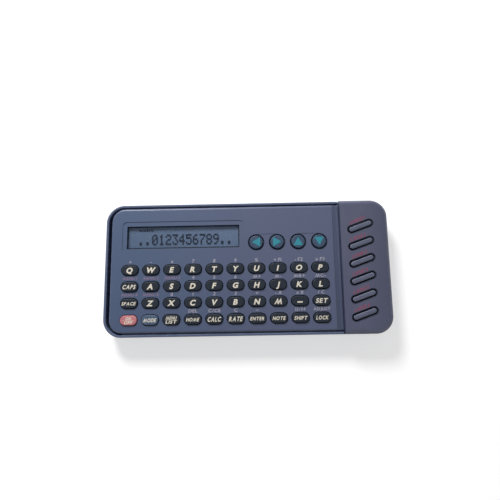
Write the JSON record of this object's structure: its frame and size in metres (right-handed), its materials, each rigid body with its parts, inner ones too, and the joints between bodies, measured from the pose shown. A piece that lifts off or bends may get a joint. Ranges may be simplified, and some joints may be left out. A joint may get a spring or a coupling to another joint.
{
  "type": "handheld translator",
  "caption": "Flat pocket translator with display, forty letter keys, arrow keys, a raised block of slanted keys and a slide-on hard cover stored behind it.",
  "frame": {"origin": "middle of the footprint, on the surface the unit lies on", "axes": "+X along the key rows towards the raised block, +Y from the bottom key row towards the display, +Z out of the keys"},
  "size_m": [0.1416, 0.0664, 0.0144],
  "materials": {
    "case": "fine spark-textured moulded plastic",
    "cover": "fine spark-textured moulded plastic",
    "clear_window": "clear acrylic, polished",
    "display_glass": "grey reflective display glass",
    "board": "solder-masked board",
    "rubber_mat": "silicone rubber",
    "cell_steel": "plated steel",
    "screw_steel": "blackened steel",
    "black_key": "satin moulded plastic",
    "red_key": "satin moulded plastic",
    "blue_key": "satin moulded plastic",
    "arrow_key": "satin moulded plastic",
    "language_key": "satin moulded plastic"
  },
  "bodies": {
    "housing": {"front_case": "case", "rear_case": "case", "display_window": "clear_window", "lcd_panel": "display_glass", "circuit_board": "board", "key_mat": "rubber_mat", "coin_cells": "cell_steel", "case_screws": "screw_steel"},
    "slide_cover": {"slide_cover": "cover"},
    "battery_door": {"battery_door": "case"},
    "key_q": {"key_q": "black_key"},
    "key_w": {"key_w": "black_key"},
    "key_e": {"key_e": "black_key"},
    "key_r": {"key_r": "black_key"},
    "key_t": {"key_t": "black_key"},
    "key_y": {"key_y": "black_key"},
    "key_u": {"key_u": "black_key"},
    "key_i": {"key_i": "black_key"},
    "key_o": {"key_o": "black_key"},
    "key_p": {"key_p": "black_key"},
    "key_caps": {"key_caps": "black_key"},
    "key_a": {"key_a": "black_key"},
    "key_s": {"key_s": "black_key"},
    "key_d": {"key_d": "black_key"},
    "key_f": {"key_f": "black_key"},
    "key_g": {"key_g": "black_key"},
    "key_h": {"key_h": "black_key"},
    "key_j": {"key_j": "black_key"},
    "key_k": {"key_k": "black_key"},
    "key_l": {"key_l": "black_key"},
    "key_space": {"key_space": "black_key"},
    "key_z": {"key_z": "black_key"},
    "key_x": {"key_x": "black_key"},
    "key_c": {"key_c": "black_key"},
    "key_v": {"key_v": "black_key"},
    "key_b": {"key_b": "black_key"},
    "key_n": {"key_n": "black_key"},
    "key_m": {"key_m": "black_key"},
    "key_dash": {"key_dash": "black_key"},
    "key_set": {"key_set": "black_key"},
    "key_on_off": {"key_on_off": "red_key"},
    "key_mode": {"key_mode": "blue_key"},
    "key_menu": {"key_menu": "black_key"},
    "key_home": {"key_home": "black_key"},
    "key_calc": {"key_calc": "black_key"},
    "key_currency": {"key_currency": "black_key"},
    "key_enter": {"key_enter": "black_key"},
    "key_memo": {"key_memo": "black_key"},
    "key_shift": {"key_shift": "black_key"},
    "key_code": {"key_code": "black_key"},
    "arrow_left": {"arrow_left": "arrow_key"},
    "arrow_right": {"arrow_right": "arrow_key"},
    "arrow_up": {"arrow_up": "arrow_key"},
    "arrow_down": {"arrow_down": "arrow_key"},
    "language_key_1": {"language_key_1": "language_key"},
    "language_key_2": {"language_key_2": "language_key"},
    "language_key_3": {"language_key_3": "language_key"},
    "language_key_4": {"language_key_4": "language_key"},
    "language_key_5": {"language_key_5": "language_key"},
    "language_key_6": {"language_key_6": "language_key"}
  },
  "joints": [
    {"name": "cover_slide", "type": "slide", "parent": "housing", "child": "slide_cover", "axis": [-1, 0, 0], "range_m": [0, 0.118]},
    {"name": "battery_door_slide", "type": "slide", "parent": "housing", "child": "battery_door", "axis": [1, 0, 0], "range_m": [0, 0.022]},
    {"name": "key_q_press", "type": "slide", "parent": "housing", "child": "key_q", "axis": [0, 0, -1], "range_m": [0, 0.0008], "stiffness_N_per_m": 400, "springref_m": -0.001, "deforming": ["key_mat"]},
    {"name": "key_w_press", "type": "slide", "parent": "housing", "child": "key_w", "axis": [0, 0, -1], "range_m": [0, 0.0008], "stiffness_N_per_m": 400, "springref_m": -0.001, "deforming": ["key_mat"]},
    {"name": "key_e_press", "type": "slide", "parent": "housing", "child": "key_e", "axis": [0, 0, -1], "range_m": [0, 0.0008], "stiffness_N_per_m": 400, "springref_m": -0.001, "deforming": ["key_mat"]},
    {"name": "key_r_press", "type": "slide", "parent": "housing", "child": "key_r", "axis": [0, 0, -1], "range_m": [0, 0.0008], "stiffness_N_per_m": 400, "springref_m": -0.001, "deforming": ["key_mat"]},
    {"name": "key_t_press", "type": "slide", "parent": "housing", "child": "key_t", "axis": [0, 0, -1], "range_m": [0, 0.0008], "stiffness_N_per_m": 400, "springref_m": -0.001, "deforming": ["key_mat"]},
    {"name": "key_y_press", "type": "slide", "parent": "housing", "child": "key_y", "axis": [0, 0, -1], "range_m": [0, 0.0008], "stiffness_N_per_m": 400, "springref_m": -0.001, "deforming": ["key_mat"]},
    {"name": "key_u_press", "type": "slide", "parent": "housing", "child": "key_u", "axis": [0, 0, -1], "range_m": [0, 0.0008], "stiffness_N_per_m": 400, "springref_m": -0.001, "deforming": ["key_mat"]},
    {"name": "key_i_press", "type": "slide", "parent": "housing", "child": "key_i", "axis": [0, 0, -1], "range_m": [0, 0.0008], "stiffness_N_per_m": 400, "springref_m": -0.001, "deforming": ["key_mat"]},
    {"name": "key_o_press", "type": "slide", "parent": "housing", "child": "key_o", "axis": [0, 0, -1], "range_m": [0, 0.0008], "stiffness_N_per_m": 400, "springref_m": -0.001, "deforming": ["key_mat"]},
    {"name": "key_p_press", "type": "slide", "parent": "housing", "child": "key_p", "axis": [0, 0, -1], "range_m": [0, 0.0008], "stiffness_N_per_m": 400, "springref_m": -0.001, "deforming": ["key_mat"]},
    {"name": "key_caps_press", "type": "slide", "parent": "housing", "child": "key_caps", "axis": [0, 0, -1], "range_m": [0, 0.0008], "stiffness_N_per_m": 400, "springref_m": -0.001, "deforming": ["key_mat"]},
    {"name": "key_a_press", "type": "slide", "parent": "housing", "child": "key_a", "axis": [0, 0, -1], "range_m": [0, 0.0008], "stiffness_N_per_m": 400, "springref_m": -0.001, "deforming": ["key_mat"]},
    {"name": "key_s_press", "type": "slide", "parent": "housing", "child": "key_s", "axis": [0, 0, -1], "range_m": [0, 0.0008], "stiffness_N_per_m": 400, "springref_m": -0.001, "deforming": ["key_mat"]},
    {"name": "key_d_press", "type": "slide", "parent": "housing", "child": "key_d", "axis": [0, 0, -1], "range_m": [0, 0.0008], "stiffness_N_per_m": 400, "springref_m": -0.001, "deforming": ["key_mat"]},
    {"name": "key_f_press", "type": "slide", "parent": "housing", "child": "key_f", "axis": [0, 0, -1], "range_m": [0, 0.0008], "stiffness_N_per_m": 400, "springref_m": -0.001, "deforming": ["key_mat"]},
    {"name": "key_g_press", "type": "slide", "parent": "housing", "child": "key_g", "axis": [0, 0, -1], "range_m": [0, 0.0008], "stiffness_N_per_m": 400, "springref_m": -0.001, "deforming": ["key_mat"]},
    {"name": "key_h_press", "type": "slide", "parent": "housing", "child": "key_h", "axis": [0, 0, -1], "range_m": [0, 0.0008], "stiffness_N_per_m": 400, "springref_m": -0.001, "deforming": ["key_mat"]},
    {"name": "key_j_press", "type": "slide", "parent": "housing", "child": "key_j", "axis": [0, 0, -1], "range_m": [0, 0.0008], "stiffness_N_per_m": 400, "springref_m": -0.001, "deforming": ["key_mat"]},
    {"name": "key_k_press", "type": "slide", "parent": "housing", "child": "key_k", "axis": [0, 0, -1], "range_m": [0, 0.0008], "stiffness_N_per_m": 400, "springref_m": -0.001, "deforming": ["key_mat"]},
    {"name": "key_l_press", "type": "slide", "parent": "housing", "child": "key_l", "axis": [0, 0, -1], "range_m": [0, 0.0008], "stiffness_N_per_m": 400, "springref_m": -0.001, "deforming": ["key_mat"]},
    {"name": "key_space_press", "type": "slide", "parent": "housing", "child": "key_space", "axis": [0, 0, -1], "range_m": [0, 0.0008], "stiffness_N_per_m": 400, "springref_m": -0.001, "deforming": ["key_mat"]},
    {"name": "key_z_press", "type": "slide", "parent": "housing", "child": "key_z", "axis": [0, 0, -1], "range_m": [0, 0.0008], "stiffness_N_per_m": 400, "springref_m": -0.001, "deforming": ["key_mat"]},
    {"name": "key_x_press", "type": "slide", "parent": "housing", "child": "key_x", "axis": [0, 0, -1], "range_m": [0, 0.0008], "stiffness_N_per_m": 400, "springref_m": -0.001, "deforming": ["key_mat"]},
    {"name": "key_c_press", "type": "slide", "parent": "housing", "child": "key_c", "axis": [0, 0, -1], "range_m": [0, 0.0008], "stiffness_N_per_m": 400, "springref_m": -0.001, "deforming": ["key_mat"]},
    {"name": "key_v_press", "type": "slide", "parent": "housing", "child": "key_v", "axis": [0, 0, -1], "range_m": [0, 0.0008], "stiffness_N_per_m": 400, "springref_m": -0.001, "deforming": ["key_mat"]},
    {"name": "key_b_press", "type": "slide", "parent": "housing", "child": "key_b", "axis": [0, 0, -1], "range_m": [0, 0.0008], "stiffness_N_per_m": 400, "springref_m": -0.001, "deforming": ["key_mat"]},
    {"name": "key_n_press", "type": "slide", "parent": "housing", "child": "key_n", "axis": [0, 0, -1], "range_m": [0, 0.0008], "stiffness_N_per_m": 400, "springref_m": -0.001, "deforming": ["key_mat"]},
    {"name": "key_m_press", "type": "slide", "parent": "housing", "child": "key_m", "axis": [0, 0, -1], "range_m": [0, 0.0008], "stiffness_N_per_m": 400, "springref_m": -0.001, "deforming": ["key_mat"]},
    {"name": "key_dash_press", "type": "slide", "parent": "housing", "child": "key_dash", "axis": [0, 0, -1], "range_m": [0, 0.0008], "stiffness_N_per_m": 400, "springref_m": -0.001, "deforming": ["key_mat"]},
    {"name": "key_set_press", "type": "slide", "parent": "housing", "child": "key_set", "axis": [0, 0, -1], "range_m": [0, 0.0008], "stiffness_N_per_m": 400, "springref_m": -0.001, "deforming": ["key_mat"]},
    {"name": "key_on_off_press", "type": "slide", "parent": "housing", "child": "key_on_off", "axis": [0, 0, -1], "range_m": [0, 0.0008], "stiffness_N_per_m": 400, "springref_m": -0.001, "deforming": ["key_mat"]},
    {"name": "key_mode_press", "type": "slide", "parent": "housing", "child": "key_mode", "axis": [0, 0, -1], "range_m": [0, 0.0008], "stiffness_N_per_m": 400, "springref_m": -0.001, "deforming": ["key_mat"]},
    {"name": "key_menu_press", "type": "slide", "parent": "housing", "child": "key_menu", "axis": [0, 0, -1], "range_m": [0, 0.0008], "stiffness_N_per_m": 400, "springref_m": -0.001, "deforming": ["key_mat"]},
    {"name": "key_home_press", "type": "slide", "parent": "housing", "child": "key_home", "axis": [0, 0, -1], "range_m": [0, 0.0008], "stiffness_N_per_m": 400, "springref_m": -0.001, "deforming": ["key_mat"]},
    {"name": "key_calc_press", "type": "slide", "parent": "housing", "child": "key_calc", "axis": [0, 0, -1], "range_m": [0, 0.0008], "stiffness_N_per_m": 400, "springref_m": -0.001, "deforming": ["key_mat"]},
    {"name": "key_currency_press", "type": "slide", "parent": "housing", "child": "key_currency", "axis": [0, 0, -1], "range_m": [0, 0.0008], "stiffness_N_per_m": 400, "springref_m": -0.001, "deforming": ["key_mat"]},
    {"name": "key_enter_press", "type": "slide", "parent": "housing", "child": "key_enter", "axis": [0, 0, -1], "range_m": [0, 0.0008], "stiffness_N_per_m": 400, "springref_m": -0.001, "deforming": ["key_mat"]},
    {"name": "key_memo_press", "type": "slide", "parent": "housing", "child": "key_memo", "axis": [0, 0, -1], "range_m": [0, 0.0008], "stiffness_N_per_m": 400, "springref_m": -0.001, "deforming": ["key_mat"]},
    {"name": "key_shift_press", "type": "slide", "parent": "housing", "child": "key_shift", "axis": [0, 0, -1], "range_m": [0, 0.0008], "stiffness_N_per_m": 400, "springref_m": -0.001, "deforming": ["key_mat"]},
    {"name": "key_code_press", "type": "slide", "parent": "housing", "child": "key_code", "axis": [0, 0, -1], "range_m": [0, 0.0008], "stiffness_N_per_m": 400, "springref_m": -0.001, "deforming": ["key_mat"]},
    {"name": "arrow_left_press", "type": "slide", "parent": "housing", "child": "arrow_left", "axis": [0, 0, -1], "range_m": [0, 0.0008], "stiffness_N_per_m": 400, "springref_m": -0.001, "deforming": ["key_mat"]},
    {"name": "arrow_right_press", "type": "slide", "parent": "housing", "child": "arrow_right", "axis": [0, 0, -1], "range_m": [0, 0.0008], "stiffness_N_per_m": 400, "springref_m": -0.001, "deforming": ["key_mat"]},
    {"name": "arrow_up_press", "type": "slide", "parent": "housing", "child": "arrow_up", "axis": [0, 0, -1], "range_m": [0, 0.0008], "stiffness_N_per_m": 400, "springref_m": -0.001, "deforming": ["key_mat"]},
    {"name": "arrow_down_press", "type": "slide", "parent": "housing", "child": "arrow_down", "axis": [0, 0, -1], "range_m": [0, 0.0008], "stiffness_N_per_m": 400, "springref_m": -0.001, "deforming": ["key_mat"]},
    {"name": "language_key_1_press", "type": "slide", "parent": "housing", "child": "language_key_1", "axis": [0, 0, -1], "range_m": [0, 0.0008], "stiffness_N_per_m": 400, "springref_m": -0.001, "deforming": ["key_mat"]},
    {"name": "language_key_2_press", "type": "slide", "parent": "housing", "child": "language_key_2", "axis": [0, 0, -1], "range_m": [0, 0.0008], "stiffness_N_per_m": 400, "springref_m": -0.001, "deforming": ["key_mat"]},
    {"name": "language_key_3_press", "type": "slide", "parent": "housing", "child": "language_key_3", "axis": [0, 0, -1], "range_m": [0, 0.0008], "stiffness_N_per_m": 400, "springref_m": -0.001, "deforming": ["key_mat"]},
    {"name": "language_key_4_press", "type": "slide", "parent": "housing", "child": "language_key_4", "axis": [0, 0, -1], "range_m": [0, 0.0008], "stiffness_N_per_m": 400, "springref_m": -0.001, "deforming": ["key_mat"]},
    {"name": "language_key_5_press", "type": "slide", "parent": "housing", "child": "language_key_5", "axis": [0, 0, -1], "range_m": [0, 0.0008], "stiffness_N_per_m": 400, "springref_m": -0.001, "deforming": ["key_mat"]},
    {"name": "language_key_6_press", "type": "slide", "parent": "housing", "child": "language_key_6", "axis": [0, 0, -1], "range_m": [0, 0.0008], "stiffness_N_per_m": 400, "springref_m": -0.001, "deforming": ["key_mat"]}
  ]
}
